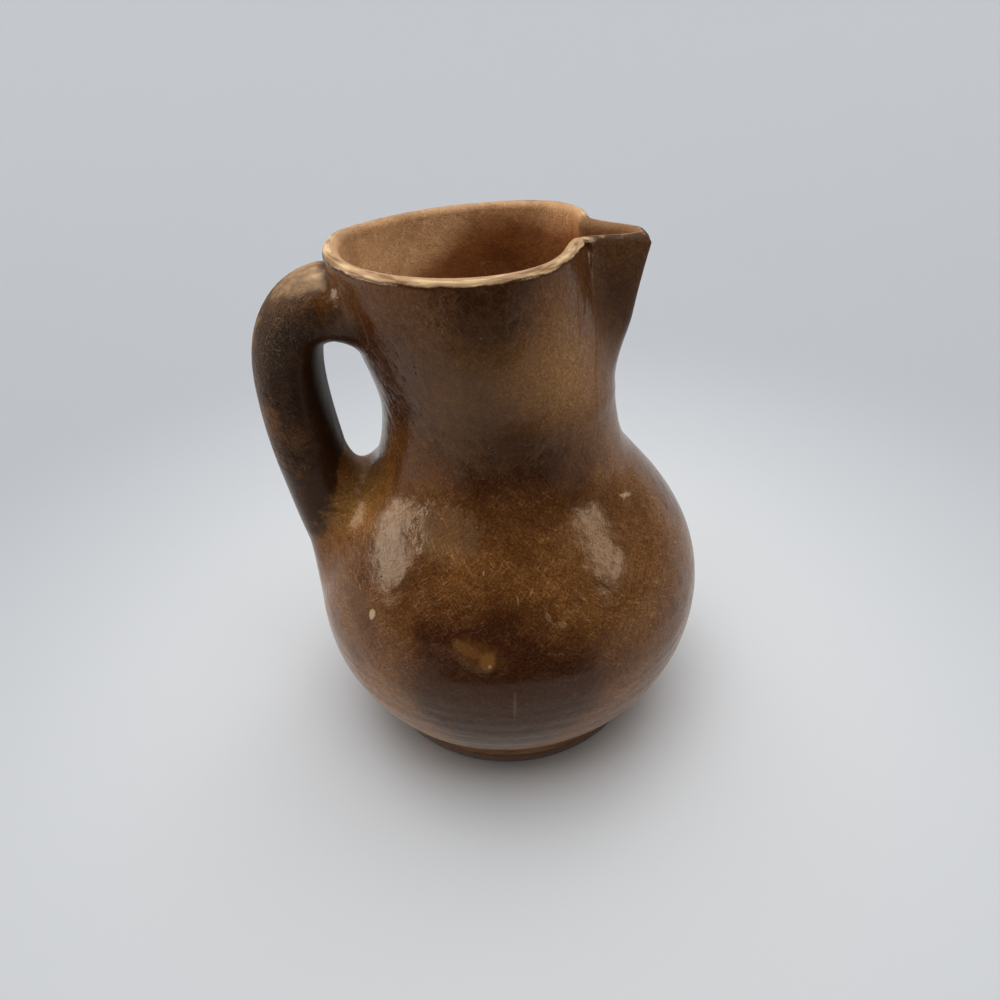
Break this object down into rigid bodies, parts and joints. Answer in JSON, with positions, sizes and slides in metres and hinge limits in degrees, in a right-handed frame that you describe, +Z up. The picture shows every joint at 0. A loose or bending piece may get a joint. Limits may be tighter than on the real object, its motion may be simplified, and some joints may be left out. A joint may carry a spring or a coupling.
{
  "type": "pottery pitcher",
  "caption": "Small glazed pottery pitcher with a round belly, a flared neck, a folded pouring beak and a pulled strap handle.",
  "frame": {"origin": "centre of the foot's underside, on the surface the pitcher stands on", "axes": "+Z up along the pitcher's axis, +X towards the beak, the handle on the -X side"},
  "size_m": [0.1241, 0.1202, 0.1481],
  "materials": {
    "honey_glaze": "gloss",
    "dark_glaze": "gloss",
    "worn_glaze": "satin",
    "bare_clay": "matte"
  },
  "bodies": {
    "root": {"foot_disc": "bare_clay", "belly": "honey_glaze", "neck_lute": "honey_glaze", "neck_collar": "worn_glaze", "beak": "honey_glaze", "beak_lute": "worn_glaze", "handle_strap": "dark_glaze", "handle_upper_lute": "honey_glaze", "handle_lower_lute": "dark_glaze"}
  },
  "joints": []
}
